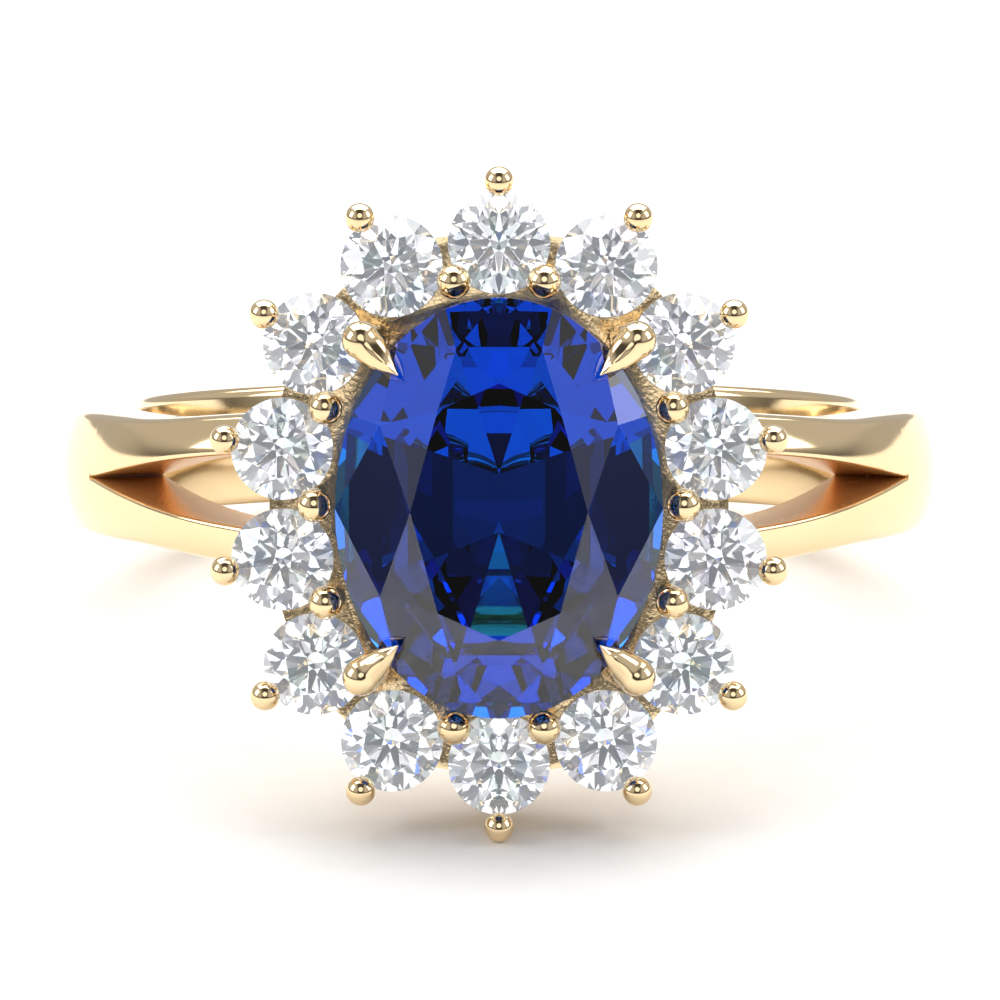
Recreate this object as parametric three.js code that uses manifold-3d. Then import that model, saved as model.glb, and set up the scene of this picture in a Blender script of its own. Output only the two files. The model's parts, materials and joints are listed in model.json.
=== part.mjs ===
// A cluster engagement ring: an oval sapphire in four eagle claws, inside a halo of fourteen round
// brilliants held by ball-tipped prongs, on a hoop whose shoulders split in two. Millimetres, +Z up.
//
// Each piece is drawn in the ring's own axes: x across the finger, y along the finger and z outwards
// through the centre stone, all from the middle of the finger hole. The finished ring is then laid
// down the way it rests on a table, on its lowest prong and the back of its hoop.
import * as THREE from "three";
import { ConvexGeometry } from "three/addons/geometries/ConvexGeometry.js";
import { mergeVertices } from "three/addons/utils/BufferGeometryUtils.js";
import Module from "manifold-3d";

const wasm = await Module();
wasm.setup();

// ---- Driving dimensions -------------------------------------------------------------------------

const SOLDER_GAP = 0.02; // left between pieces that are soldered together or set against each other

// The hoop.
const FINGER_RADIUS = 8.45; // US size 6 1/2
const HOOP_RADIUS = 10.25; // at the crown of its domed outside
const HOOP_DOME = 0.35; // how much lower the outside is at its edges
const EDGE_ROUNDING = 0.3;
const BAND_HALF_WIDTH = 1.42;
const SPLIT_Z = 4.25; // where the band ends and the two rails begin
const HOOP_SIDES = 64;

// One rail's two edges, as [distance from the hoop's middle, z]. The notch is widest at the top, where
// the point of the sapphire hangs into it.
const RAIL_HALF_WIDTH = 1.8;
const RAIL_OUTER_EDGE = [[1.42, 4.4], [1.4, 6.1], [1.69, 8.5], [1.82, 10.5]];
const RAIL_NOTCH_EDGE = [[1.28, 10.5], [0.85, 8.5], [0.36, 6.1], [0.01, 4.3]];

// The stones.
const SAPPHIRE_HALF = { x: 3.5, y: 4.5 };
const SAPPHIRE_GIRDLE_Z = 13.4;
const SAPPHIRE_CUT = { edge: 0.06, crown: 1.0 };
// The pavilion's steps as ovals: half-sizes as shares of the girdle's, and height from the girdle.
const SAPPHIRE_STEPS = [
  { x: 1, y: 1, z: -0.06 },
  { x: 0.84, y: 0.87, z: -0.8 },
  { x: 0.52, y: 0.62, z: -1.95 },
  { x: 0, y: 0.14, z: -3.4 },
];
const DIAMOND_RADIUS = 1.1;
const DIAMOND_GIRDLE_Z = 12.2;
const DIAMOND_CUT = { edge: 0.033, crown: 0.363, pavilion: 0.947, table: 0.57 };
const DIAMOND_COUNT = 14;

// The halo's centre line, a superellipse.
const HALO_HALF = { x: 4.72, y: 5.62 };
const HALO_POWER = 2.3;

// The ball-tipped prongs.
const PRONG_RADIUS = 0.2;
const OUTER_BEAD = { radius: 0.32, reach: 1.24, rise: 0.36 }; // reach is from the stone's centre
// The shaft's line from under the stone up to the girdle, as [reach, z].
const OUTER_SHAFT = [[-0.35, 10.42], [0.73, 11.2], [1.25, 11.8], [1.33, 12.15]];
const END_EXTRA_REACH = 0.09; // the two prongs on the long axis stand this much further out
const INNER_BEAD = { radius: 0.37, reach: 0.75, rise: 0.36 }; // reach is from the halo's centre line

// The claws.
const CLAW_SHAFT = { x: 2.62, y: 3.63, radius: 0.26 };
const CLAW_LEAN = [[0.87, 10.3], [0.94, 11.05], [1, 12.12]]; // [share of the shaft's x and y, z]
const CLAW_HEAD = { x: 2.94, y: 3.6, radius: 0.41, rise: 0.12, ridgeRise: 0.62 };
const CLAW_TIP = { x: 2.145, y: 2.88, rise: 0.52 };

// The gallery under the stones.
const SEAT_PLATE = { low: 11.35, lobeHigh: 12.0, high: 12.12, lobe: 1.04, hole: 0.72, web: 0.22 };
const SEAT_SLOPE = 1.16; // a diamond's seat is a cone that opens by this much for each unit it rises
const SEAT_CUT_RISE = 0.12; // how far above the girdle the seat is cut
const COLLAR = { low: 11.5, waist: 12.4, lip: 12.95, high: 13.25, flare: 1.045, bore: 0.8 };
const COLLAR_HALF = { x: 3.42, y: 4.42 };
const LIP_CLEARANCE = 0.18; // what the claws leave free round the collar's wall
const LOWER_RAIL = { low: 10.2, high: 10.6, inner: -0.5, outer: 0.08 }; // out from the halo's line
const BASE_RAIL = { low: 9.6, high: 10.6, half: { x: 3.55, y: 4.65 }, wall: 0.5 };
const POST = { x: 4.42, y: 1.36, radius: 0.26 };

// ---- Materials ----------------------------------------------------------------------------------

const gold = new THREE.MeshStandardMaterial({ color: 0xe8d2a0, metalness: 1, roughness: 0.12 });
const blueStone = new THREE.MeshStandardMaterial({ color: 0x0a2a8c, metalness: 0, roughness: 0.02 });
const whiteStone = new THREE.MeshStandardMaterial({ color: 0xf4f7fa, metalness: 0, roughness: 0.02 });

// ---- Solids -------------------------------------------------------------------------------------

// A closed three.js geometry as a manifold-3d solid.
function solidOf(geometry) {
  const bare = geometry.clone();
  bare.deleteAttribute("normal");
  bare.deleteAttribute("uv");
  const merged = mergeVertices(bare, 1e-4);
  return new wasm.Manifold(
    new wasm.Mesh({
      numProp: 3,
      vertProperties: merged.getAttribute("position").array,
      triVerts: new Uint32Array(merged.index.array),
    }),
  );
}

// A manifold-3d solid as a three.js geometry.
function geometryOf(solid) {
  const mesh = solid.getMesh();
  const geometry = new THREE.BufferGeometry();
  geometry.setAttribute("position", new THREE.BufferAttribute(mesh.vertProperties, 3));
  geometry.setIndex(new THREE.BufferAttribute(mesh.triVerts, 1));
  geometry.computeVertexNormals();
  return geometry;
}

function namedMesh(name, geometry, material) {
  const mesh = new THREE.Mesh(geometry, material.clone());
  mesh.name = name;
  return mesh;
}

const EVERY_HEIGHT = { low: 0, high: 20 };

// A cylinder that stands along z.
function upright({ x = 0, y = 0, radius, low, high, sides = 16 }) {
  const geometry = new THREE.CylinderGeometry(radius, radius, high - low, sides);
  return solidOf(geometry.rotateX(Math.PI / 2).translate(x, y, (low + high) / 2));
}

// An outline in x and y, thick from z = low to z = high.
function slab(outline, low, high) {
  const geometry = new THREE.ExtrudeGeometry(new THREE.Shape(outline), {
    depth: high - low,
    bevelEnabled: false,
  });
  return solidOf(geometry.translate(0, 0, low));
}

// A round wire along a smooth curve.
function wire(points, radius, steps) {
  const circle = new THREE.Shape(new THREE.EllipseCurve(0, 0, radius, radius).getPoints(8).slice(0, 8));
  const extrudePath = new THREE.CatmullRomCurve3(points);
  return solidOf(new THREE.ExtrudeGeometry(circle, { extrudePath, steps }));
}

// All that is below a height, for cutting a piece off square at its foot.
function below(high) {
  return upright({ radius: 9, low: high - 9, high, sides: 8 });
}

// The finger hole's cylinder, out to a radius, for what must keep clear of the hoop.
function fingerCylinder(radius) {
  return solidOf(new THREE.CylinderGeometry(radius, radius, 30, HOOP_SIDES));
}

// Points of a superellipse, from +y clockwise. A power of 2 makes an ellipse.
function ovalPoints(half, power, count) {
  return Array.from({ length: count }, (_, i) => {
    const angle = (2 * Math.PI * i) / count;
    const x = half.x * Math.sign(Math.sin(angle)) * Math.abs(Math.sin(angle)) ** (2 / power);
    const y = half.y * Math.sign(Math.cos(angle)) * Math.abs(Math.cos(angle)) ** (2 / power);
    return new THREE.Vector2(x, y);
  });
}

function grown(half, by) {
  return { x: half.x + by, y: half.y + by };
}

// ---- Stones -------------------------------------------------------------------------------------
// A stone is the convex solid that its facets' planes leave standing. It is worked out with a girdle
// of radius 1, and then stretched sideways to the stone's own outline. Heights stay as they are.

const FULL_TURN = 2 * Math.PI;

// A point at a distance from the stone's axis, in a direction clockwise from +y.
function at(distance, direction, z) {
  return new THREE.Vector3(distance * Math.sin(direction), distance * Math.cos(direction), z);
}

// A plane through three points, facing away from the middle of the stone.
function facet(a, b, c) {
  const plane = new THREE.Plane().setFromCoplanarPoints(a, b, c);
  if (plane.constant > 0) plane.negate();
  return plane;
}

// A level plane, such as the table's.
function level(z) {
  return new THREE.Plane(new THREE.Vector3(0, 0, Math.sign(z)), -Math.abs(z));
}

// A sloping plane square to a direction, given by two of its distances and heights.
function slope(direction, [distanceA, zA], [distanceB, zB]) {
  const a = at(distanceA, direction, zA);
  const sideways = at(1, direction + Math.PI / 2, 0);
  return facet(a, at(distanceB, direction, zB), a.clone().add(sideways));
}

// Where three planes meet, or null where two of them are parallel.
function meet(p, q, r) {
  const qr = new THREE.Vector3().crossVectors(q.normal, r.normal);
  const determinant = p.normal.dot(qr);
  if (Math.abs(determinant) < 1e-9) return null;
  const rp = new THREE.Vector3().crossVectors(r.normal, p.normal).multiplyScalar(q.constant);
  const pq = new THREE.Vector3().crossVectors(p.normal, q.normal).multiplyScalar(r.constant);
  return qr.multiplyScalar(p.constant).add(rp).add(pq).divideScalar(-determinant);
}

// The convex solid inside all of the facets.
function cutStone(facets, half) {
  const corners = [];
  for (let i = 0; i < facets.length; i++) {
    for (let j = i + 1; j < facets.length; j++) {
      for (let k = j + 1; k < facets.length; k++) {
        const corner = meet(facets[i], facets[j], facets[k]);
        if (!corner) continue;
        if (facets.some((plane) => plane.distanceToPoint(corner) > 1e-6)) continue;
        if (corners.some((other) => other.distanceTo(corner) < 2e-3)) continue;
        corners.push(corner);
      }
    }
  }
  return new ConvexGeometry(corners).scale(half.x, half.y, 1);
}

// Upright facets round the girdle.
function girdleFacets(sides) {
  return Array.from({ length: sides }, (_, i) => {
    const here = (FULL_TURN * i) / sides;
    const next = (FULL_TURN * (i + 1)) / sides;
    return facet(at(1, here, 0), at(1, next, 0), at(1, here, 1));
  });
}

// A brilliant crown: the table, eight kites, eight stars and sixteen upper-girdle facets. A main is
// [direction of the kite, distance of its corner on the table].
function crownFacets(mains, edgeZ, height, tipRise) {
  const tableZ = edgeZ + height;
  const kites = mains.map(([direction, corner]) => slope(direction, [1, edgeZ], [corner, tableZ]));
  const facets = [level(tableZ), ...kites];
  mains.forEach(([direction, corner], i) => {
    const next = (i + 1) % mains.length;
    const nextDirection = mains[next][0] + (next ? 0 : FULL_TURN);
    const between = at(1, (direction + nextDirection) / 2, edgeZ);
    const tip = meet(kites[i], kites[next], level(edgeZ + height * tipRise));
    const tableCorner = at(corner, direction, tableZ);
    facets.push(facet(tableCorner, at(mains[next][1], nextDirection, tableZ), tip));
    facets.push(facet(at(1, direction, edgeZ), between, tip));
    facets.push(facet(at(1, nextDirection, edgeZ), between, tip));
  });
  return facets;
}

// A round brilliant, 2.2 mm across.
function diamondGeometry() {
  const { edge, crown, pavilion, table } = DIAMOND_CUT;
  const halfStep = FULL_TURN / 16;
  const mains = Array.from({ length: 8 }, (_, i) => [(FULL_TURN * i) / 8, table]);
  const bottoms = mains.map(([direction]) => slope(direction, [1, -edge], [0, -edge - pavilion]));
  const facets = [...girdleFacets(32), ...crownFacets(mains, edge, crown, 0.66), ...bottoms];
  mains.forEach(([direction], i) => {
    const between = at(1, direction + halfStep, -edge);
    const tip = meet(bottoms[i], bottoms[(i + 1) % 8], level(-edge - pavilion * 0.79));
    facets.push(facet(at(1, direction, -edge), between, tip));
    facets.push(facet(at(1, direction + 2 * halfStep, -edge), between, tip));
  });
  return cutStone(facets, { x: DIAMOND_RADIUS, y: DIAMOND_RADIUS });
}

// The oval mixed cut: a brilliant crown over an eight-sided pavilion of three steps, which ends in a
// short keel.
function sapphireGeometry() {
  const { edge, crown } = SAPPHIRE_CUT;
  const diagonal = 0.66; // direction of the kites between an end and a side
  const mains = [0, Math.PI].flatMap((half) => [
    [half, 0.607],
    [half + diagonal, 0.605],
    [half + Math.PI / 2, 0.537],
    [half + Math.PI - diagonal, 0.605],
  ]);
  const reach = (step, direction) => {
    return Math.hypot(step.x * Math.sin(direction), step.y * Math.cos(direction));
  };
  const facets = [...girdleFacets(56), ...crownFacets(mains, edge, crown, 0.6)];
  for (let turn = 0; turn < 8; turn++) {
    const direction = (FULL_TURN * turn) / 8;
    SAPPHIRE_STEPS.slice(1).forEach((lower, i) => {
      const upper = SAPPHIRE_STEPS[i];
      facets.push(slope(direction, [reach(upper, direction), upper.z], [reach(lower, direction), lower.z]));
    });
  }
  return cutStone(facets, SAPPHIRE_HALF);
}

// ---- Head: stones -------------------------------------------------------------------------------

const head = new THREE.Group();
const sapphire = namedMesh("centre_sapphire", sapphireGeometry(), blueStone);
sapphire.position.z = SAPPHIRE_GIRDLE_Z;
head.add(sapphire);

// The halo's centre line, walked at an even pace. A spot is a share of the way round, clockwise, and
// its prongs point square to the plain ellipse.
const haloLine = new THREE.CatmullRomCurve3(
  ovalPoints(HALO_HALF, HALO_POWER, 144).map(({ x, y }) => new THREE.Vector3(x, y, 0)),
  true,
);

function haloSpot(share) {
  const { x, y } = haloLine.getPointAt(share);
  return { x, y, outwards: Math.atan2(y / HALO_HALF.y ** 2, x / HALO_HALF.x ** 2) };
}

const numbered = (name, i) => `${name}_${String(i + 1).padStart(2, "0")}`;
const diamondCut = diamondGeometry();
const stoneSpots = Array.from({ length: DIAMOND_COUNT }, (_, i) => haloSpot(i / DIAMOND_COUNT));
stoneSpots.forEach(({ x, y, outwards }, i) => {
  const diamond = namedMesh(numbered("halo_diamond", i), diamondCut, whiteStone);
  diamond.position.set(x, y, DIAMOND_GIRDLE_Z);
  diamond.rotation.z = outwards;
  head.add(diamond);
});

// ---- Head: prongs -------------------------------------------------------------------------------
// A prong is drawn with its stone's centre at the origin and x outwards, and then turned into place.

const beadBall = ({ radius }, x, z) => solidOf(new THREE.SphereGeometry(radius, 8, 6).translate(x, 0, z));

// An outer prong: down outside the girdle, then in towards the lower rail, which it stands on.
function outerProngShaft(extraReach, radius) {
  const girdleEnd = OUTER_SHAFT.length - 1;
  const line = OUTER_SHAFT.map(([x, z], i) => [i === girdleEnd ? x + extraReach : x, z]);
  line.push([OUTER_BEAD.reach + extraReach + 0.03, DIAMOND_GIRDLE_Z + OUTER_BEAD.rise]);
  const shaft = wire(line.map(([x, z]) => new THREE.Vector3(x, 0, z)), radius, 4);
  return shaft.subtract(below(LOWER_RAIL.high + SOLDER_GAP));
}

stoneSpots.forEach(({ x, y, outwards }, i) => {
  const extraReach = i % (DIAMOND_COUNT / 2) === 0 ? END_EXTRA_REACH : 0;
  const reach = OUTER_BEAD.reach + extraReach;
  const bead = beadBall(OUTER_BEAD, reach, DIAMOND_GIRDLE_Z + OUTER_BEAD.rise);
  const solid = outerProngShaft(extraReach, PRONG_RADIUS).add(bead);
  const prong = namedMesh(numbered("outer_prong", i), geometryOf(solid), gold);
  prong.position.set(x, y, 0);
  prong.rotation.z = outwards;
  head.add(prong);
});

// An inner prong stands on the seat plate between two stones and holds both. The four gaps on the
// diagonals have none, because the claws stand there.
const innerTop = DIAMOND_GIRDLE_Z + INNER_BEAD.rise;
const innerShaft = upright({
  radius: PRONG_RADIUS,
  low: SEAT_PLATE.high + SOLDER_GAP,
  high: innerTop,
  sides: 8,
});
const innerProng = geometryOf(innerShaft.add(beadBall(INNER_BEAD, 0, innerTop)));
const CLAW_GAPS = [1, 5, 8, 12];
const prongGaps = stoneSpots.map((_, i) => i).filter((i) => !CLAW_GAPS.includes(i));
prongGaps.forEach((gap, i) => {
  const { x, y, outwards } = haloSpot((gap + 0.5) / DIAMOND_COUNT);
  const prong = namedMesh(numbered("inner_prong", i), innerProng, gold);
  prong.position.x = x - INNER_BEAD.reach * Math.cos(outwards);
  prong.position.y = y - INNER_BEAD.reach * Math.sin(outwards);
  head.add(prong);
});

// ---- Head: gallery ------------------------------------------------------------------------------

const corners = [
  { name: "upper_right", sideX: 1, sideY: 1 },
  { name: "lower_right", sideX: 1, sideY: -1 },
  { name: "lower_left", sideX: -1, sideY: -1 },
  { name: "upper_left", sideX: -1, sideY: 1 },
];

// A claw's shaft, as a line of points from its foot up into its head.
function clawLine({ sideX, sideY }) {
  const place = ({ x, y }, share, z) => new THREE.Vector3(sideX * x * share, sideY * y * share, z);
  const shaft = CLAW_LEAN.map(([share, z]) => place(CLAW_SHAFT, share, z));
  return [...shaft, place(CLAW_HEAD, 1, SAPPHIRE_GIRDLE_Z)];
}

// The plate that the diamonds sit in, with a lobe and a hole under each.
const webEdge = ovalPoints(grown(HALO_HALF, SEAT_PLATE.web), HALO_POWER, 56);
let plate = slab(webEdge, SEAT_PLATE.low, SEAT_PLATE.high);
for (const { x, y } of stoneSpots) {
  const { low, lobe: radius, lobeHigh: high } = SEAT_PLATE;
  plate = plate.add(upright({ x, y, radius, low, high, sides: 16 }));
}
const { low: bottom, high: top } = EVERY_HEIGHT;
plate = plate.subtract(slab(ovalPoints(grown(COLLAR_HALF, SOLDER_GAP), 2, 40), bottom, top));

// A diamond's seat, a cone that follows its pavilion.
const seatMouth = DIAMOND_RADIUS + SOLDER_GAP + SEAT_CUT_RISE * SEAT_SLOPE;
const seatHeight = (seatMouth - SEAT_PLATE.hole) / SEAT_SLOPE;
const seatTop = DIAMOND_GIRDLE_Z - DIAMOND_CUT.edge + SEAT_CUT_RISE;
const seatCone = new THREE.CylinderGeometry(seatMouth, SEAT_PLATE.hole, seatHeight, 20);
seatCone.rotateX(Math.PI / 2).translate(0, 0, seatTop - seatHeight / 2);

stoneSpots.forEach(({ x, y, outwards }, i) => {
  const extraReach = i % (DIAMOND_COUNT / 2) === 0 ? END_EXTRA_REACH : 0;
  const notch = outerProngShaft(extraReach, PRONG_RADIUS + SOLDER_GAP);
  plate = plate.subtract(upright({ x, y, radius: SEAT_PLATE.hole, ...EVERY_HEIGHT, sides: 12 }));
  plate = plate.subtract(solidOf(seatCone.clone().translate(x, y, 0)));
  plate = plate.subtract(notch.rotate([0, 0, THREE.MathUtils.radToDeg(outwards)]).translate([x, y, 0]));
});
for (const corner of corners) {
  plate = plate.subtract(wire(clawLine(corner), CLAW_SHAFT.radius + SOLDER_GAP, 4));
}
head.add(namedMesh("halo_seat_plate", geometryOf(plate), gold));

// The collar round the sapphire: a lathe-turned wall, squeezed to an oval, with the stone's seat cut.
const { bore, flare } = COLLAR;
const collarProfile = [
  [bore, COLLAR.low],
  [1, COLLAR.low],
  [1, COLLAR.waist],
  [flare, COLLAR.lip],
  [flare, COLLAR.high],
  [bore, COLLAR.high],
  [bore, COLLAR.low],
].map(([radius, z]) => new THREE.Vector2(radius, z));
const collarWall = new THREE.LatheGeometry(collarProfile, 48);
collarWall.rotateX(Math.PI / 2).scale(COLLAR_HALF.x, COLLAR_HALF.y, 1);

// A stone a little larger all round, for cutting its seat.
const larger = new THREE.Vector3(SAPPHIRE_HALF.x, SAPPHIRE_HALF.y, SAPPHIRE_CUT.crown)
  .addScalar(SOLDER_GAP)
  .divide(new THREE.Vector3(SAPPHIRE_HALF.x, SAPPHIRE_HALF.y, SAPPHIRE_CUT.crown));
const sapphireClear = sapphire.geometry.clone().scale(larger.x, larger.y, larger.z);
const seatCutter = solidOf(sapphireClear.translate(0, 0, SAPPHIRE_GIRDLE_Z));
const collar = solidOf(collarWall).subtract(seatCutter);
head.add(namedMesh("centre_collar", geometryOf(collar), gold));

// The four claws: a shaft from the base rail, and a pointed head that folds over the sapphire.
const lipOutline = ovalPoints(grown(COLLAR_HALF, LIP_CLEARANCE), 2, 48);
const lipClear = slab(lipOutline, COLLAR.low, COLLAR.high + SOLDER_GAP);

function clawHead({ sideX, sideY }) {
  const place = ({ x, y }, rise) => new THREE.Vector3(sideX * x, sideY * y, SAPPHIRE_GIRDLE_Z + rise);
  const base = place(CLAW_HEAD, CLAW_HEAD.rise);
  const tip = place(CLAW_TIP, CLAW_TIP.rise);
  const ridge = base.clone().lerp(tip, 0.4).setZ(SAPPHIRE_GIRDLE_Z + CLAW_HEAD.ridgeRise);
  const ball = new THREE.SphereGeometry(CLAW_HEAD.radius, 10, 6).rotateX(Math.PI / 2);
  const position = ball.translate(base.x, base.y, base.z).getAttribute("position");
  const points = [tip, ridge];
  for (let i = 0; i < position.count; i++) {
    points.push(new THREE.Vector3().fromBufferAttribute(position, i));
  }
  return solidOf(new ConvexGeometry(points));
}

for (const corner of corners) {
  const shaft = wire(clawLine(corner), CLAW_SHAFT.radius, 4).subtract(below(BASE_RAIL.high + SOLDER_GAP));
  const claw = shaft.add(clawHead(corner)).subtract(seatCutter).subtract(lipClear);
  head.add(namedMesh(`claw_${corner.name}`, geometryOf(claw), gold));
}

// The oval rails. The lower rail carries the outer prongs, and the base rail carries the claws and is
// filed to sit on the shoulders.
const hoopClear = fingerCylinder(HOOP_RADIUS + SOLDER_GAP);
const { inner, outer } = LOWER_RAIL;
const railOuterEdge = ovalPoints(grown(HALO_HALF, outer), HALO_POWER, 56);
const railInnerEdge = ovalPoints(grown(HALO_HALF, inner), HALO_POWER, 56);
const railOutside = slab(railOuterEdge, LOWER_RAIL.low, LOWER_RAIL.high);
const railInside = slab(railInnerEdge, bottom, top);
head.add(namedMesh("halo_lower_rail", geometryOf(railOutside.subtract(railInside)), gold));

const baseOutside = slab(ovalPoints(BASE_RAIL.half, 2, 48), BASE_RAIL.low, BASE_RAIL.high);
const baseInside = slab(ovalPoints(grown(BASE_RAIL.half, -BASE_RAIL.wall), 2, 48), bottom, top);
const baseRail = baseOutside.subtract(baseInside).subtract(hoopClear);
head.add(namedMesh("claw_base_rail", geometryOf(baseRail), gold));

for (const { name, sideX, sideY } of corners) {
  const spot = { x: sideX * POST.x, y: sideY * POST.y, radius: POST.radius, sides: 12 };
  const post = upright({ ...spot, low: 8, high: LOWER_RAIL.low - SOLDER_GAP }).subtract(hoopClear);
  head.add(namedMesh(`gallery_post_${name}`, geometryOf(post), gold));
}

// ---- Hoop ---------------------------------------------------------------------------------------

const hoop = new THREE.Group();

// A ring turned round the y axis, flat inside and domed outside, with rounded edges. Half a side's
// turn puts a side, not a corner, at the back, where it lies on the table.
function turnedHoop(halfWidth) {
  const profile = [
    [FINGER_RADIUS, -halfWidth + EDGE_ROUNDING / 2],
    [FINGER_RADIUS + EDGE_ROUNDING / 2, -halfWidth],
    [HOOP_RADIUS - HOOP_DOME - EDGE_ROUNDING, -halfWidth],
    [HOOP_RADIUS - HOOP_DOME, -halfWidth + EDGE_ROUNDING * 0.6],
    [HOOP_RADIUS - HOOP_DOME * 0.25, -halfWidth * 0.5],
    [HOOP_RADIUS, 0],
  ];
  const mirrored = profile.toReversed().slice(1).map(([radius, y]) => [radius, -y]);
  const closed = [...profile, ...mirrored, profile[0]];
  const outline = closed.map(([radius, y]) => new THREE.Vector2(radius, y));
  return solidOf(new THREE.LatheGeometry(outline, HOOP_SIDES, Math.PI / HOOP_SIDES));
}

// An outline in y and z, thick right across the ring, for shaping the hoop as seen from its side.
function sideways(outline) {
  const width = 2 * HOOP_RADIUS + 2;
  const geometry = new THREE.ExtrudeGeometry(new THREE.Shape(outline), { depth: width, bevelEnabled: false });
  const toRing = new THREE.Matrix4().makeBasis(
    new THREE.Vector3(0, 1, 0),
    new THREE.Vector3(0, 0, 1),
    new THREE.Vector3(1, 0, 0),
  );
  return solidOf(geometry.translate(0, 0, -width / 2).applyMatrix4(toRing));
}

const back = -HOOP_RADIUS - 1;
const behindSplit = [[-3, back], [3, back], [3, SPLIT_Z], [-3, SPLIT_Z]];
const bandOutline = behindSplit.map(([y, z]) => new THREE.Vector2(y, z));
const band = turnedHoop(BAND_HALF_WIDTH).intersect(sideways(bandOutline));
hoop.add(namedMesh("shank_band", geometryOf(band), gold));

// A shoulder rail runs from one side's split over the top to the other's, under the head.
function railSolid(side) {
  const curve = (edge) => new THREE.SplineCurve(edge.map(([y, z]) => new THREE.Vector2(side * y, z)));
  const start = SPLIT_Z + SOLDER_GAP;
  const outline = [
    new THREE.Vector2(side * RAIL_NOTCH_EDGE[3][0], start),
    new THREE.Vector2(side * BAND_HALF_WIDTH, start),
    ...curve(RAIL_OUTER_EDGE).getPoints(9),
    ...curve(RAIL_NOTCH_EDGE).getPoints(9),
  ];
  return turnedHoop(RAIL_HALF_WIDTH).intersect(sideways(outline));
}

hoop.add(namedMesh("shoulder_rail_upper", geometryOf(railSolid(1)), gold));
hoop.add(namedMesh("shoulder_rail_lower", geometryOf(railSolid(-1)), gold));

// ---- The ring at rest ---------------------------------------------------------------------------

const ring = new THREE.Group();
ring.add(hoop, head);
const lowestProng = head.getObjectByName("outer_prong_08");
const lowest = (object) => new THREE.Box3().setFromObject(object, true).min.z;

// Lays the ring on its side with its head lifted by a tilt.
function tip(tilt) {
  ring.rotation.x = Math.PI / 2 - tilt;
  ring.updateMatrixWorld(true);
}

let flatter = 0;
let steeper = Math.PI / 4;
for (let i = 0; i < 40; i++) {
  const tilt = (flatter + steeper) / 2;
  tip(tilt);
  if (lowest(lowestProng) < lowest(hoop)) flatter = tilt;
  else steeper = tilt;
}

// The origin is under the middle of the ring, on the table.
const box = new THREE.Box3().setFromObject(ring, true);
const middle = box.getCenter(new THREE.Vector3());
ring.position.set(-middle.x, -middle.y, -box.min.z);

const engagementRing = new THREE.Group();
engagementRing.add(ring);

export default engagementRing;
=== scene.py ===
import json
import math

import bpy
from mathutils import Matrix, Vector


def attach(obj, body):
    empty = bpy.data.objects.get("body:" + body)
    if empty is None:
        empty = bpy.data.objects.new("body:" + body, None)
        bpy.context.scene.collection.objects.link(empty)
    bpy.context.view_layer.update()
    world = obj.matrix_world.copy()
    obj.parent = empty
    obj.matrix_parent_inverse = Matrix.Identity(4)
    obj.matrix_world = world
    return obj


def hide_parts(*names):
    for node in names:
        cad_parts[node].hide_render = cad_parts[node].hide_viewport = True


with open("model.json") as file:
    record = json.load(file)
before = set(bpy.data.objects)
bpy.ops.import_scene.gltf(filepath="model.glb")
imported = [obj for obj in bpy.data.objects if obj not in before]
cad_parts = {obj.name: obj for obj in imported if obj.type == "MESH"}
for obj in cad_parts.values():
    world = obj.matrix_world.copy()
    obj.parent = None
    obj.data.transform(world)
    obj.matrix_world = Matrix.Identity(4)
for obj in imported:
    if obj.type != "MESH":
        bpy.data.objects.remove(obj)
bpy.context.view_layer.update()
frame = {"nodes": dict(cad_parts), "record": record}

# ---- The ring's own axes ------------------------------------------------------------------------
# The ring lies tipped on its side. A goldsmith works on it upright, so every piece is made in the
# ring's own axes, in millimetres: x across the finger, y along it, and z out through the stone, all
# from the middle of the finger hole. Then it is laid down in its place.
mounts = {mount["name"]: mount for mount in frame["record"]["mounts"]}
hole_middle = Vector(mounts["finger_hole"]["pos_m"])
along_finger = Vector(mounts["finger_hole"]["axis"]).normalized()
out_through_stone = Vector(mounts["table_facet"]["axis"]).normalized()
across = along_finger.cross(out_through_stone)
upright_axes = Matrix((across, along_finger, out_through_stone)).transposed().to_4x4()
lay_down = Matrix.Translation(hole_middle) @ upright_axes @ Matrix.Scale(0.001, 4)
stand_up = lay_down.inverted()


def upright_box(node):
    """A node's lowest and highest corners in the ring's own axes, in millimetres."""
    corners = [stand_up @ vertex.co for vertex in frame["nodes"][node].data.vertices]
    lowest = Vector(min(corner[axis] for corner in corners) for axis in range(3))
    highest = Vector(max(corner[axis] for corner in corners) for axis in range(3))
    return lowest, highest


def upright_middle(node):
    lowest, highest = upright_box(node)
    return (lowest + highest) / 2


# ---- The table, the light and the camera --------------------------------------------------------
# The ring lies on a sheet of white card. A large soft panel hangs over it, and smaller ones stand
# to the sides. The camera looks almost straight at the head, from a little above it.
def begin(add, **settings):
    """Adds a primitive with nothing else selected."""
    bpy.ops.object.select_all(action="DESELECT")
    add(**settings)
    return bpy.context.object


class Value:
    """A socket that adds up: an expression on values adds its Math nodes."""

    def __init__(self, finish, socket):
        self.finish = finish
        self.socket = socket

    def math(self, operation, *others):
        inputs = dict(enumerate((self, *others)))
        return self.finish.node("ShaderNodeMath", {"operation": operation}, inputs)

    def __add__(self, other):
        return self.math("ADD", other)

    def __mul__(self, other):
        return self.math("MULTIPLY", other)

    __radd__ = __add__
    __rmul__ = __mul__


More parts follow.
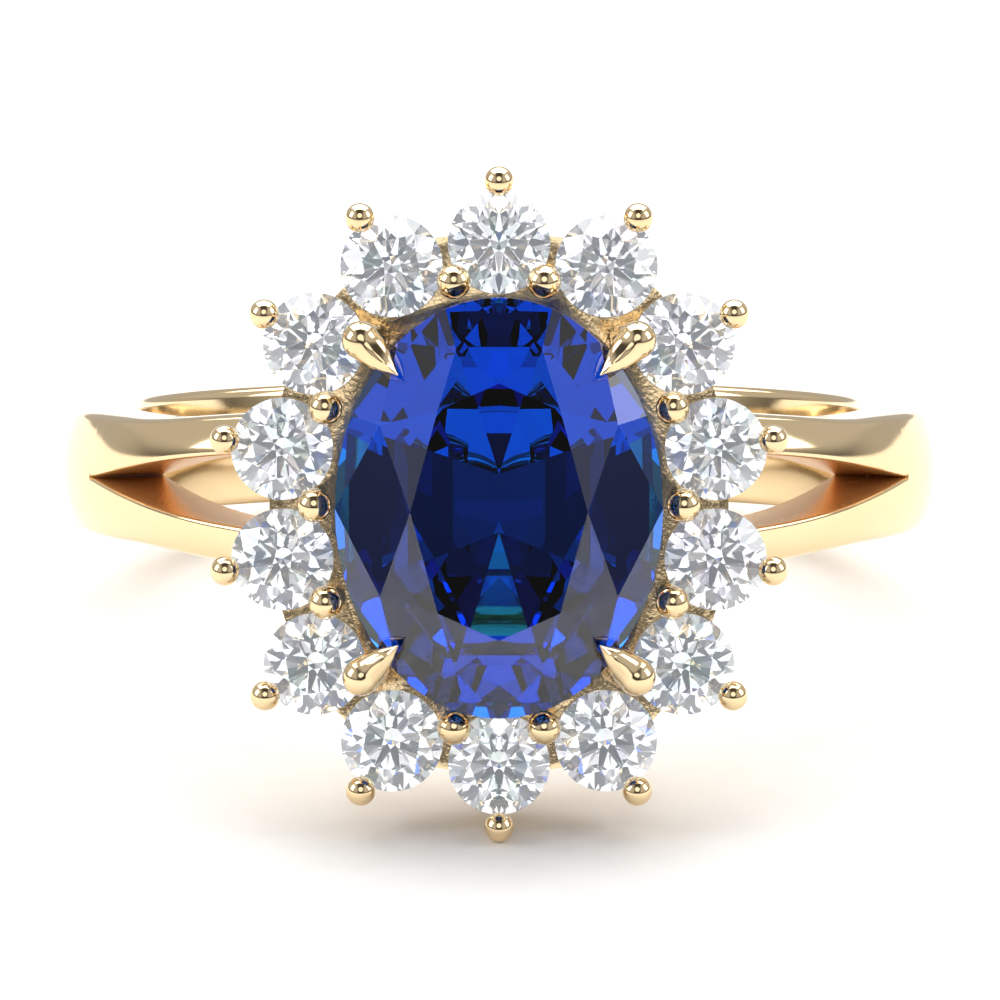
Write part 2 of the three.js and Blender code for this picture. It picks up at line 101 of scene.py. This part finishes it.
class Finish:
    """The nodes of a material, or of the studio round the ring, added one at a time."""

    def __init__(self, owner, shader="Principled BSDF"):
        owner.use_nodes = True
        self.owner = owner
        self.tree = owner.node_tree
        self.shader = self.tree.nodes[shader]

    def set(self, node, inputs):
        for name, value in inputs.items():
            if isinstance(value, Value):
                self.tree.links.new(value.socket, node.inputs[name])
            else:
                node.inputs[name].default_value = value

    def node(self, kind, settings, inputs, output=0):
        added = self.tree.nodes.new(kind)
        for name, value in settings.items():
            if name == "stops":
                while len(added.color_ramp.elements) < len(value):
                    added.color_ramp.elements.new(0.5)
                for element, (position, colour) in zip(added.color_ramp.elements, value):
                    element.position = position
                    element.color = (*colour, 1)
            else:
                setattr(added, name, value)
        self.set(added, inputs)
        return Value(self, added.outputs[output])

    def place(self):
        return self.node("ShaderNodeTexCoord", {}, {}, "Object")

    def noise(self, scale, detail=2):
        return self.node("ShaderNodeTexNoise", {}, {
            "Vector": self.place(), "Scale": scale, "Detail": detail,
        })

    def ramp(self, share, *stops):
        return self.node("ShaderNodeValToRGB", {"stops": stops}, {"Fac": share})

    def rise(self, value, low, high):
        """Nought below low, one above high, and a smooth step between."""
        return self.node("ShaderNodeMapRange", {"interpolation_type": "SMOOTHSTEP"}, {
            "Value": value, "From Min": low, "From Max": high,
        })


table = begin(bpy.ops.mesh.primitive_plane_add, size=4)
table.name = "table"
card = Finish(bpy.data.materials.new("white_card"))
card_fibre = card.noise(900.0, 3)
card.set(card.shader, {
    "Base Color": card.ramp(card_fibre, (0.35, (0.9, 0.885, 0.86)), (0.65, (0.92, 0.905, 0.885))),
    "Roughness": 0.9,
    "Specular IOR Level": 0.2,
})
table.data.materials.append(card.owner)

girdle_middle = upright_middle("centre_collar")
girdle_over_collar = 0.15
girdle_middle.z = upright_box("centre_collar")[1].z + girdle_over_collar
aim = lay_down @ girdle_middle
camera_rise = math.radians(4.5)
camera_distance = 0.135
towards_camera = out_through_stone * math.cos(camera_rise) + along_finger * math.sin(camera_rise)
camera_data = bpy.data.cameras.new("camera")
camera_data.lens = 228
camera_data.sensor_width = 36
camera_data.shift_x = 0.001
camera_data.shift_y = 0.0085
camera_data.clip_start = 0.001
camera = bpy.data.objects.new("camera", camera_data)
camera.location = aim + towards_camera * camera_distance
camera.rotation_euler = towards_camera.to_track_quat("Z", "Y").to_euler()
bpy.context.collection.objects.link(camera)
bpy.context.scene.camera = camera


lamps_face = Vector((0, -0.008, 0.006))  # the head's middle, near enough


def softbox(name, place, size, power):
    """A rectangular panel of light, turned towards the ring."""
    panel = bpy.data.lights.new(name, "AREA")
    panel.shape = "RECTANGLE"
    panel.size, panel.size_y = size
    panel.energy = power
    lamp = bpy.data.objects.new(name, panel)
    lamp.location = place
    lamp.rotation_euler = (Vector(place) - lamps_face).to_track_quat("Z", "Y").to_euler()
    bpy.context.collection.objects.link(lamp)


softbox("overhead_panel", (0.0, 0.13, 0.3), (0.5, 0.36), 1.75)
softbox("left_panel", (-0.3, -0.06, 0.16), (0.16, 0.2), 0.35)
softbox("right_panel", (0.3, -0.04, 0.16), (0.16, 0.2), 0.25)

studio = bpy.data.worlds.new("studio")
bpy.context.scene.world = studio
walls = Finish(studio, "Background")
direction = walls.node("ShaderNodeTexCoord", {}, {}, "Generated")
sideways = walls.node("ShaderNodeSeparateXYZ", {}, {"Vector": direction}, "X")
backwards = walls.node("ShaderNodeSeparateXYZ", {}, {"Vector": direction}, "Y")
height = walls.node("ShaderNodeSeparateXYZ", {}, {"Vector": direction}, "Z")
above_camera = walls.node(
    "ShaderNodeVectorMath", {"operation": "DOT_PRODUCT"}, {0: direction, 1: (0, -0.82, 0.57)}, "Value"
)
side_walls = walls.rise(sideways.math("ABSOLUTE"), 0.25, 0.6) * walls.rise(height, -0.05, 0.25)
back_wall = walls.rise(backwards, 0.1, 0.6) * 0.85
lamp_glow = walls.rise(above_camera, 0.93, 0.965) * 2.6
walls.set(walls.shader, {
    "Color": side_walls.math("MAXIMUM", back_wall) + lamp_glow + 0.14,
    "Strength": 0.52,
})
bpy.context.scene.view_settings.view_transform = "Standard"

# ---- Shank band ---------------------------------------------------------------------------------
# The back and sides of the hoop, one strip of 18-carat yellow gold bent round, soldered and
# polished. It is a little domed outside, and its inner edges are rounded for comfort.
finger_radius = 8.45
hoop_radius = 10.25
band_half_width = 1.42
split_angle = math.radians(65.4)  # from the head round to where the shoulders part


yellow_gold = (0.88, 0.685, 0.42)


def gold_finish(name, polish=0.09, warmth=yellow_gold, shine=1.0, mark_scale=2600.0, mark_depth=0.05):
    """Yellow gold, with faint rubbing marks and a slightly uneven alloy colour."""
    gold = Finish(bpy.data.materials.new(name))
    deeper = tuple(channel * share for channel, share in zip(warmth, (0.97, 0.95, 0.9)))
    marks = gold.noise(mark_scale, 4)
    gold.set(gold.shader, {
        "Base Color": gold.ramp(gold.noise(260.0, 3), (0.3, deeper), (0.7, warmth)),
        "Metallic": shine,
        "Roughness": marks * 0.05 + (polish - 0.02),
        "Normal": gold.node("ShaderNodeBump", {}, {
            "Height": marks, "Strength": mark_depth, "Distance": 0.00002,
        }),
    })
    return gold.owner


band_gold = gold_finish("polished_hoop_gold")


def only(piece, kind, test):
    """Selects, in edit mode, only the vertices, edges or faces that pass a test of their middle."""
    bpy.ops.mesh.select_all(action="DESELECT")
    bpy.ops.object.mode_set(mode="OBJECT")
    mesh = piece.data
    for item in getattr(mesh, kind):
        if kind == "vertices":
            middle = item.co
        elif kind == "edges":
            middle = (mesh.vertices[item.vertices[0]].co + mesh.vertices[item.vertices[1]].co) / 2
        else:
            middle = item.center
        item.select = bool(test(middle))
    bpy.ops.object.mode_set(mode="EDIT")


def edit():
    """Goes into edit mode on the active piece, to select by vertex."""
    bpy.ops.object.mode_set(mode="EDIT")
    bpy.ops.mesh.select_mode(type="VERT")


def mend():
    """Closes seams and turns the faces outwards."""
    bpy.ops.mesh.select_all(action="SELECT")
    bpy.ops.mesh.remove_doubles(threshold=0.001)
    bpy.ops.mesh.normals_make_consistent(inside=False)


def use_modifier(piece, kind, **settings):
    bpy.context.view_layer.objects.active = piece
    modifier = piece.modifiers.new("step", kind)
    for name, value in settings.items():
        setattr(modifier, name, value)
    bpy.ops.object.modifier_apply(modifier=modifier.name)


def lay_in_place(piece, name, material, smooth=35):
    """Names a finished piece, smooths it, lays it down and lets it stand for its node."""
    if bpy.context.object.mode == "EDIT":
        bpy.ops.object.mode_set(mode="OBJECT")
    bpy.ops.object.select_all(action="DESELECT")
    piece.select_set(True)
    bpy.context.view_layer.objects.active = piece
    bpy.ops.object.transform_apply(location=True, rotation=True, scale=True)
    piece.matrix_world = lay_down
    bpy.ops.object.transform_apply(location=True, rotation=True, scale=True)
    bpy.ops.object.shade_smooth_by_angle(angle=math.radians(smooth))
    piece.name = name + "_finished"
    piece.data.materials.clear()
    piece.data.materials.append(material)
    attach(piece, "root")
    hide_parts(name)


hoop_dome = 0.35
outer_rounding = 0.32
inner_rounding = 0.22
notch_rounding = 0.09


def round_corners(strip, test, radius, segments):
    only(strip, "vertices", test)
    bpy.ops.mesh.bevel(offset=radius, segments=segments, affect="VERTICES", profile=0.5)


def hoop_section():
    """A cut through the hoop, standing out along x: domed outside and rounded inside."""
    low_edge = hoop_radius - hoop_dome
    section = begin(bpy.ops.mesh.primitive_plane_add, size=1)
    section.scale = (low_edge - finger_radius, 2 * band_half_width, 1)
    section.location = ((low_edge + finger_radius) / 2, 0, 0)
    bpy.ops.object.transform_apply(location=True, rotation=False, scale=True)
    edit()
    only(section, "edges", lambda v: v.x > low_edge - 0.01)
    bpy.ops.mesh.subdivide(number_cuts=15)
    only(section, "vertices", lambda v: v.x > low_edge - 0.01 and abs(v.y) < 0.01)
    bpy.ops.transform.translate(
        value=(hoop_dome, 0, 0), use_proportional_edit=True, use_proportional_connected=True,
        proportional_edit_falloff="INVERSE_SQUARE", proportional_size=band_half_width,
    )
    round_corners(
        section, lambda v: v.x > low_edge - 0.01 and abs(v.y) > band_half_width - 0.01, outer_rounding, 6
    )
    round_corners(section, lambda v: v.x < finger_radius + 0.01, inner_rounding, 4)
    bpy.ops.mesh.select_all(action="SELECT")
    return section


def turn_round_finger(angle):
    """Turns what is selected round the finger's axis, from the stone towards +x."""
    bpy.ops.transform.rotate(value=-angle, orient_axis="Y", orient_type="GLOBAL", center_override=(0, 0, 0))


band = hoop_section()
turn_round_finger(split_angle - math.pi / 2)
bpy.ops.mesh.spin(steps=144, angle=-2 * (math.pi - split_angle), center=(0, 0, 0), axis=(0, 1, 0))
mend()
lay_in_place(band, "shank_band", band_gold)

# ---- Shoulder rails -----------------------------------------------------------------------------
# At each side the hoop is sawn down its middle and the halves are opened into a V. Each half runs on
# over the finger to the other side's split, as one rail that the head stands on.
def eased(share):
    share = min(max(share, 0), 1)
    return share * share * (3 - 2 * share)


def rail_edges(angle):
    """A rail's edge on the notch's side and its outside edge, so far round from the head."""
    height = hoop_radius * math.cos(angle)
    opened = min(max((height - 4.25) / 6, 0), 1) ** 1.15
    notch = 0.93 * math.sin(opened * math.pi / 2) + 0.28 * eased((height - 8.4) / 2.1)
    return notch, band_half_width + 0.4 * eased((height - 5.4) / 4.85)


# The faces that look into the notch get a deeper orange gold, partly non-metallic, that stands in for warm
# light bouncing between the rails: a painted reflection. Its rubbing marks and uneven tone are real.
painted_reflection_notch = gold_finish("sawn_notch_gold", polish=0.26, warmth=(0.76, 0.44, 0.17), shine=0.68)
rail_steps = 72
rail_step_angle = 2 * split_angle / rail_steps
for side, name in ((1, "shoulder_rail_upper"), (-1, "shoulder_rail_lower")):
    rail = hoop_section()
    bpy.ops.mesh.bisect(plane_co=(0, 0, 0), plane_no=(0, 1, 0), clear_inner=True)
    round_corners(rail, lambda v: v.x > 10 and abs(v.y) < 0.01, notch_rounding, 3)
    bpy.ops.mesh.select_all(action="SELECT")
    turn_round_finger(split_angle - math.pi / 2)
    near, far = 0, band_half_width
    for step in range(1, rail_steps + 1):
        next_near, next_far = rail_edges(abs(split_angle - step * rail_step_angle))
        bpy.ops.mesh.extrude_region_move()
        turn_round_finger(-rail_step_angle)
        width = (next_far - next_near) / (far - near)
        bpy.ops.transform.resize(value=(1, width, 1), orient_type="GLOBAL", center_override=(0, near, 0))
        bpy.ops.transform.translate(value=(0, next_near - near, 0))
        near, far = next_near, next_far
    mend()
    bpy.ops.object.mode_set(mode="OBJECT")
    rail.scale.y = side
    bpy.ops.object.transform_apply(location=False, rotation=False, scale=True)
    edit()
    mend()
    lay_in_place(rail, name, band_gold)
    # Faces that look into the notch take the gold with the painted reflection.
    rail.data.materials.append(painted_reflection_notch)
    for face in rail.data.polygons:
        face.material_index = int(face.normal.dot(along_finger) * side < -0.75)

# ---- Gallery ------------------------------------------------------------------------------------
# The open work under the stones, cut from gold sheet and soldered up: the seat plate that is drilled
# for the diamonds, the lower rail that the outer prongs stand on, the base rail that is filed to sit
# on the shoulders, and four short posts. The saw's corners are broken with a fine file.
gallery_gold = gold_finish("filed_gallery_gold", polish=0.16, mark_scale=11000.0, mark_depth=0.55)


def broken_edges(node, width):
    """The node's own solid, with its corners broken."""
    bpy.ops.object.select_all(action="DESELECT")
    solid = frame["nodes"][node].data.copy()
    piece = bpy.data.objects.new(node, solid)
    bpy.context.collection.objects.link(piece)
    piece.select_set(True)
    bpy.context.view_layer.objects.active = piece
    piece.matrix_world = stand_up
    bpy.ops.object.transform_apply(location=True, rotation=True, scale=True)
    edit()
    mend()
    bpy.ops.mesh.dissolve_limited(angle_limit=math.radians(1))
    bpy.ops.object.mode_set(mode="OBJECT")
    use_modifier(piece, "BEVEL", width=width, segments=2, limit_method="ANGLE", angle_limit=math.radians(40))
    return piece


gallery = {"halo_seat_plate": 0.04, "halo_lower_rail": 0.06, "claw_base_rail": 0.06}
for corner in ("upper_right", "lower_right", "lower_left", "upper_left"):
    gallery["gallery_post_" + corner] = 0.03
for node, width in gallery.items():
    lay_in_place(broken_edges(node, width), node, gallery_gold)

# ---- Ball-tipped prongs -------------------------------------------------------------------------
# Each prong is drawn gold wire, burnished over the stone's edge into a round bead. The outer ones
# lean in under their stone to the lower rail, and the inner ones stand on the seat plate.
prong_gold = gold_finish("burnished_bead_gold", polish=0.05)
wire_radius = 0.2
stone_names = ["halo_diamond_%02d" % number for number in range(1, 15)]
stones = [upright_middle(name) for name in stone_names]
diamond_crown = 0.396  # the table's height over the girdle's middle
stone_girdle = upright_box(stone_names[0])[1].z - diamond_crown


def bead_of(node):
    """The top of a prong's bead, over the bead's middle."""
    corners = [stand_up @ vertex.co for vertex in frame["nodes"][node].data.vertices]
    top = max(corner.z for corner in corners)
    ball = [corner for corner in corners if corner.z > top - 0.3]
    middle = [(min(v[axis] for v in ball) + max(v[axis] for v in ball)) / 2 for axis in range(2)]
    return Vector((*middle, top))


def bead_on_wire(bead_radius, bead_place, wire):
    """A bead with a wire drawn out below it. The wire is (x, z, lean in degrees), from the top down."""
    neck = math.radians(40)  # where the wire leaves the bead, from straight down
    prong = begin(bpy.ops.mesh.primitive_uv_sphere_add, segments=28, ring_count=18, radius=bead_radius)
    edit()
    only(prong, "polygons", lambda v: v.z < -0.8 * bead_radius)
    bpy.ops.mesh.delete(type="FACE")
    only(prong, "vertices", lambda v: v.z < -0.75 * bead_radius)
    bpy.ops.mesh.select_mode(type="EDGE")
    radius = bead_radius * math.sin(neck)
    x, z, lean = 0, -bead_radius * math.cos(neck), 0
    for next_x, next_z, next_lean in wire:
        share = wire_radius / radius
        bpy.ops.mesh.extrude_region_move()
        bpy.ops.transform.resize(value=(share, share, share), orient_type="GLOBAL", center_override=(x, 0, z))
        bpy.ops.transform.rotate(
            value=math.radians(lean - next_lean), orient_axis="Y", orient_type="GLOBAL",
            center_override=(x, 0, z),
        )
        next_x, next_z = next_x - bead_place[0], next_z - bead_place[1]
        bpy.ops.transform.translate(value=(next_x - x, 0, next_z - z))
        radius, x, z, lean = wire_radius, next_x, next_z, next_lean
    bpy.ops.mesh.edge_face_add()
    mend()
    bpy.ops.transform.translate(value=(bead_place[0], 0, bead_place[1]))
    bpy.ops.object.mode_set(mode="OBJECT")
    return prong


def copy_of(piece):
    copy = piece.copy()
    copy.data = piece.data.copy()
    bpy.context.collection.objects.link(copy)
    bpy.ops.object.select_all(action="DESELECT")
    copy.select_set(True)
    bpy.context.view_layer.objects.active = copy
    return copy


lower_rail_top = upright_box("halo_lower_rail")[1].z
plate_top = upright_box("halo_seat_plate")[1].z
outer_bead = 0.32
outer_patterns = {}
for number, stone in enumerate(stones, 1):
    node = "outer_prong_%02d" % number
    bead = bead_of(node)
    outwards = Vector((bead.x - stone.x, bead.y - stone.y))
    reach = round(outwards.length, 2)
    if reach not in outer_patterns:
        outer_patterns[reach] = bead_on_wire(outer_bead, (reach, bead.z - outer_bead), (
            (reach + 0.02, stone_girdle + 0.06, 0),
            (reach + 0.03, stone_girdle - 0.08, 4),
            (reach, stone_girdle - 0.3, 20),
            (1.16, stone_girdle - 0.5, 34),
            (0.73, stone_girdle - 1.0, 52),
            (-0.2, lower_rail_top + 0.1, 54),
        ))
    prong = copy_of(outer_patterns[reach])
    prong.rotation_euler.z = math.atan2(outwards.y, outwards.x)
    prong.location = (stone.x, stone.y, 0)
    lay_in_place(prong, node, prong_gold)

inner_bead = 0.37
inner_height = bead_of("inner_prong_01").z - inner_bead
inner_pattern = bead_on_wire(inner_bead, (0, inner_height), (
    (0, inner_height - 0.38, 0), (0, plate_top + 0.01, 0),
))
for number in range(1, 11):
    node = "inner_prong_%02d" % number
    prong = copy_of(inner_pattern)
    prong.location = (*bead_of(node).xy, 0)
    lay_in_place(prong, node, prong_gold)
for pattern in (*outer_patterns.values(), inner_pattern):
    bpy.data.objects.remove(pattern)

# ---- Collar -------------------------------------------------------------------------------------
# A thin oval wall of gold round the sapphire, flared at its lip and cut inside to the stone's slope.
collar_gold = gold_finish("bright_collar_gold", polish=0.1, mark_scale=11000.0, mark_depth=0.35)
collar_low = upright_box("centre_collar")[0]
collar_radius = 3.42
oval_long = 4.42 / collar_radius
collar = begin(
    bpy.ops.mesh.primitive_circle_add, vertices=96, radius=collar_radius, location=(0, 0, collar_low.z)
)
edit()
wall = (
    (3.42, 12.4), (3.5, 12.68), (3.574, 12.95), (3.574, 13.2), (3.545, 13.24), (3.5, 13.25),
    (3.445, 13.23), (2.95, 12.62), (2.75, 12.4), (2.75, collar_low.z),
)
bpy.ops.mesh.select_all(action="SELECT")
radius, height = collar_radius, collar_low.z
for next_radius, next_height in wall:
    bpy.ops.mesh.extrude_region_move()
    share = next_radius / radius
    bpy.ops.transform.resize(value=(share, share, 1), orient_type="GLOBAL", center_override=(0, 0, height))
    bpy.ops.transform.translate(value=(0, 0, next_height - height))
    radius, height = next_radius, next_height
# Known fault: the piece's own heights start at nought, so this takes in every loop and the wall is lost.
only(collar, "vertices", lambda v: v.z < collar_low.z + 0.001)
bpy.ops.mesh.bridge_edge_loops()
bpy.ops.mesh.select_all(action="SELECT")
bpy.ops.transform.resize(value=(1, oval_long, 1), orient_type="GLOBAL", center_override=(0, 0, 0))
mend()
lay_in_place(collar, "centre_collar", collar_gold)

# ---- Claws --------------------------------------------------------------------------------------
# Four eagle claws hold the sapphire. Each is a wire that stands in the gap between two diamonds, and
# its head is filed to a long point with a sharp ridge and pressed down on the stone.
claw_gold = gold_finish("filed_claw_gold", polish=0.06)
sapphire_crown = 1.06  # the table's height over the girdle's middle
sapphire_girdle = upright_box("centre_sapphire")[1].z - sapphire_crown
base_rail_top = upright_box("claw_base_rail")[1].z
claw_shoulder = Vector((2.94, 3.6, sapphire_girdle + 0.12))
claw_tip = Vector((2.145, 2.88, sapphire_girdle + 0.54))
claw_reach = (claw_tip - claw_shoulder).xy.length
claw = begin(bpy.ops.mesh.primitive_uv_sphere_add, segments=24, ring_count=16, radius=0.41)
edit()
bpy.ops.mesh.select_all(action="SELECT")
bpy.ops.transform.rotate(value=-math.pi / 2, orient_axis="Y", orient_type="GLOBAL", center_override=(0, 0, 0))
only(claw, "polygons", lambda v: v.x > 0.15)
bpy.ops.mesh.delete(type="FACE")
only(claw, "vertices", lambda v: v.x > 0.12)
bpy.ops.mesh.select_mode(type="EDGE")
size, forward, rise = 1, 0.157, 0
for share_of_reach, next_size, next_rise in (
    (0.3, 0.94, 0.07), (0.45, 0.82, 0.17), (0.6, 0.66, 0.27),
    (0.75, 0.46, 0.34), (0.9, 0.22, 0.39), (1, 0.04, 0.42),
):
    bpy.ops.mesh.extrude_region_move()
    share = next_size / size
    next_forward = claw_reach * share_of_reach
    bpy.ops.transform.resize(
        value=(1, share, share), orient_type="GLOBAL", center_override=(forward, 0, rise)
    )
    bpy.ops.transform.translate(value=(next_forward - forward, 0, next_rise - rise))
    size, forward, rise = next_size, next_forward, next_rise
bpy.ops.mesh.edge_face_add()
only(claw, "vertices", lambda v: v.x > 0.1 and abs(v.y) < 0.01 and v.z > 0.1)
bpy.ops.transform.translate(value=(0, 0, 0.05))
mend()
bpy.ops.object.mode_set(mode="OBJECT")
claw.rotation_euler.z = math.atan2(claw_tip.y - claw_shoulder.y, claw_tip.x - claw_shoulder.x)
claw.location = claw_shoulder
bpy.ops.object.transform_apply(location=True, rotation=True, scale=False)

shaft_foot = Vector((2.28, 3.16, base_rail_top + 0.01))
shaft = begin(
    bpy.ops.mesh.primitive_circle_add, vertices=24, radius=0.26, fill_type="NGON", location=shaft_foot
)
edit()
bpy.ops.mesh.select_all(action="SELECT")
shaft_line = (
    (2.42, 3.35, 11.0), (2.56, 3.56, 11.5), (2.62, 3.63, 11.9),
    (2.64, 3.63, 12.4), (2.76, 3.62, 12.9), (2.9, 3.6, 13.4),
)
place = shaft_foot
for spot in shaft_line:
    bpy.ops.mesh.extrude_region_move()
    bpy.ops.transform.translate(value=Vector(spot) - place)
    place = Vector(spot)
mend()
bpy.ops.object.mode_set(mode="OBJECT")
use_modifier(claw, "BOOLEAN", operation="UNION", solver="EXACT", object=shaft)
bpy.data.objects.remove(shaft)

stone_cutter = broken_edges("centre_sapphire", 0.0001)
stone_cutter.location = Vector((0, 0, -0.004 * sapphire_girdle))
stone_cutter.scale = (1.004, 1.004, 1.004)
use_modifier(claw, "BOOLEAN", operation="DIFFERENCE", solver="EXACT", object=stone_cutter)
bpy.data.objects.remove(stone_cutter)
for name, side_x, side_y in (
    ("claw_upper_right", 1, 1), ("claw_lower_right", 1, -1),
    ("claw_lower_left", -1, -1), ("claw_upper_left", -1, 1),
):
    mirrored = copy_of(claw)
    mirrored.scale = (side_x, side_y, 1)
    bpy.ops.object.transform_apply(location=False, rotation=False, scale=True)
    edit()
    mend()
    lay_in_place(mirrored, name, claw_gold)
bpy.data.objects.remove(claw)

# ---- Diamonds -----------------------------------------------------------------------------------
# Fourteen round brilliants, near colourless and very bright, each cut with fifty-seven facets. Part of their
# brightness is a faint painted glow, and their coloured glints are painted tints.
diamond = Finish(bpy.data.materials.new("white_brilliant"))
# Faint blue, lilac and green tints, painted in small cells of the base colour, stand in for the coloured
# glints of fire: painted glints.
painted_fire_tints = diamond.node("ShaderNodeTexVoronoi", {}, {"Vector": diamond.place(), "Scale": 2600.0}, "Color")
diamond.set(diamond.shader, {
    "Base Color": diamond.ramp(
        diamond.node("ShaderNodeSeparateXYZ", {}, {"Vector": painted_fire_tints}, "X"),
        (0.0, (1.0, 1.0, 1.0)), (0.4, (1.0, 1.0, 1.0)), (0.5, (0.72, 0.82, 1.0)), (0.6, (1.0, 1.0, 1.0)),
        (0.72, (0.85, 0.8, 1.0)), (0.8, (1.0, 1.0, 1.0)), (0.88, (0.8, 1.0, 0.93)), (1.0, (1.0, 1.0, 1.0)),
    ),
    # A faint pale-blue glow painted into the stones lifts their dark facets, though a diamond gives no light
    # of its own.
    "Emission Color": (0.86, 0.92, 1.0, 1),
    "Emission Strength": 0.055,
    "Roughness": 0.0,
    "IOR": 2.42,
    "Transmission Weight": 1.0,
})
for name in stone_names:
    frame["nodes"][name].data.materials.clear()
    frame["nodes"][name].data.materials.append(diamond.owner)

# ---- Sapphire -----------------------------------------------------------------------------------
# A royal blue oval, about two carats, with a brilliant crown and a step-cut pavilion.
sapphire = Finish(bpy.data.materials.new("royal_blue_sapphire"))
colour_zone = sapphire.noise(420.0, 1)
sapphire.set(sapphire.shader, {
    "Base Color": sapphire.ramp(colour_zone, (0.35, (0.08, 0.46, 0.82)), (0.65, (0.11, 0.54, 0.92))),
    "Roughness": 0.0,
    "IOR": 1.77,
    "Transmission Weight": 1.0,
})
body_colour = sapphire.tree.nodes.new("ShaderNodeVolumeAbsorption")
body_colour.inputs["Color"].default_value = (0.02, 0.71, 0.93, 1)
body_colour.inputs["Density"].default_value = 800
sapphire.tree.links.new(body_colour.outputs[0], sapphire.tree.nodes["Material Output"].inputs["Volume"])
frame["nodes"]["centre_sapphire"].data.materials.clear()
frame["nodes"]["centre_sapphire"].data.materials.append(sapphire.owner)
